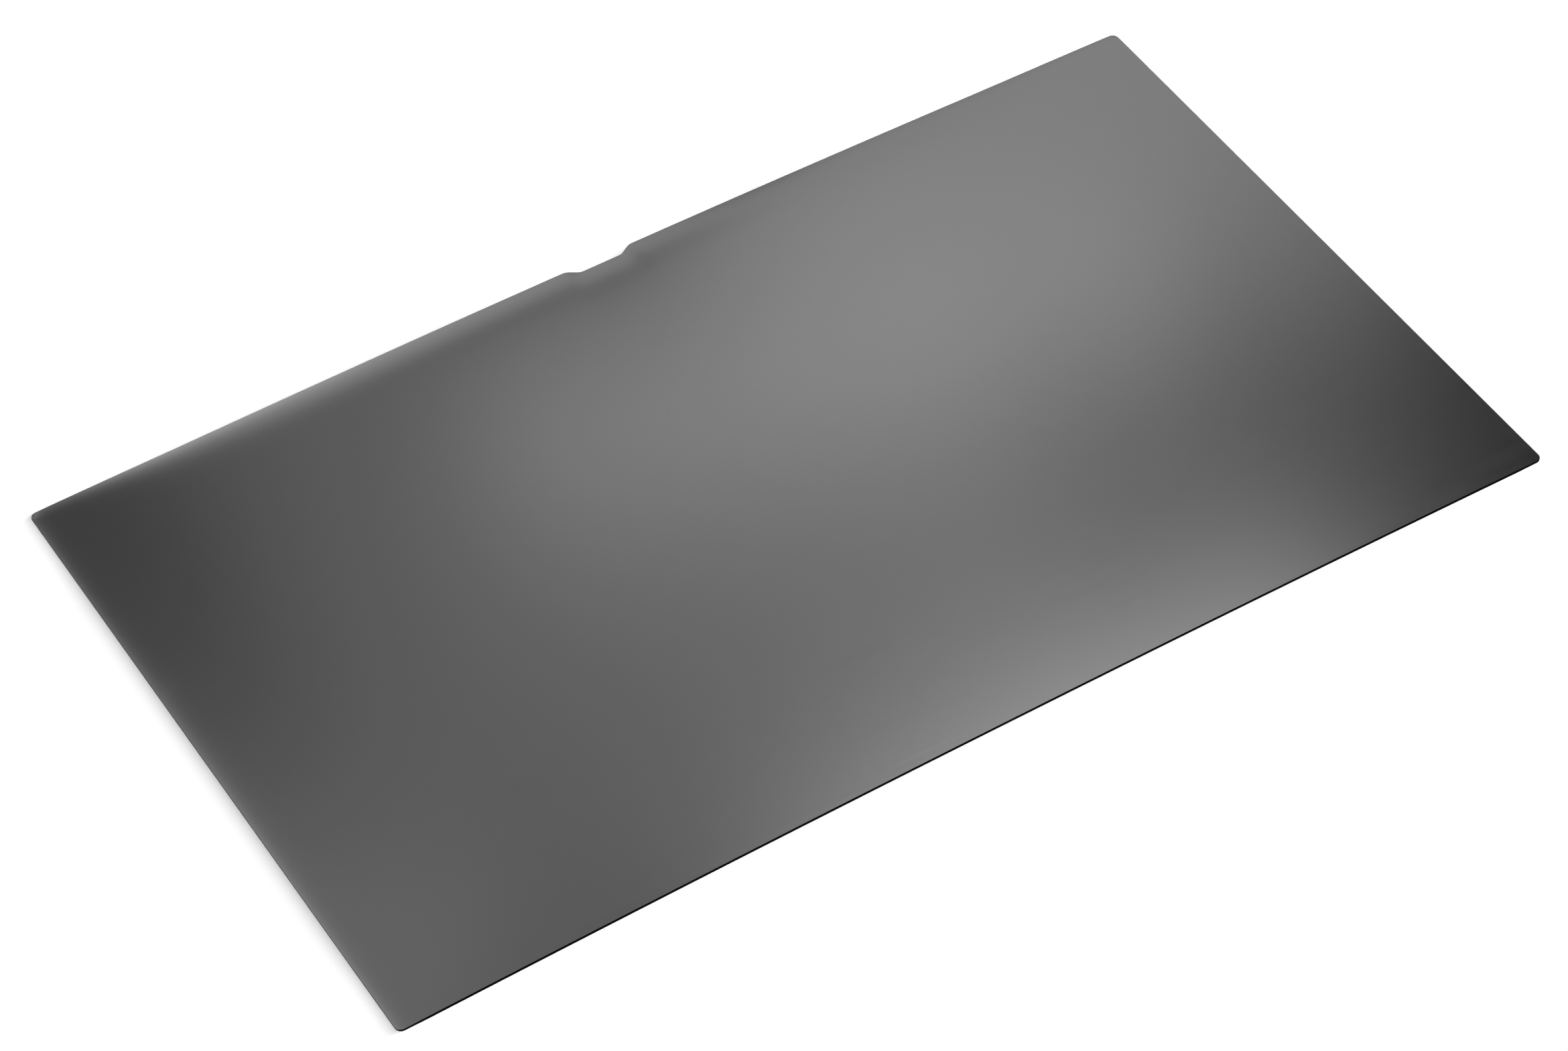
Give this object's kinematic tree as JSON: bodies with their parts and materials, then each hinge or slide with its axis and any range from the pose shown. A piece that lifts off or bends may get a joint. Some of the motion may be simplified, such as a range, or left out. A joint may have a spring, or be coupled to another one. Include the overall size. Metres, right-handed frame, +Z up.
{
  "type": "laptop privacy filter",
  "caption": "Thin, slightly bowed sheet of dark louvred film with rounded corners and a finger notch in a long edge, laid over a laptop screen to narrow its viewing angle.",
  "frame": {"origin": "middle of the sheet's outline, level with the lower edges of its two short ends, which is the surface it lies on", "axes": "+X along the long edge, +Y towards the notched long edge, +Z up out of the front face"},
  "size_m": [0.31, 0.1746, 0.0026],
  "materials": {
    "louvre_film": "satin"
  },
  "bodies": {
    "root": {"filter_sheet": "louvre_film"}
  },
  "joints": []
}
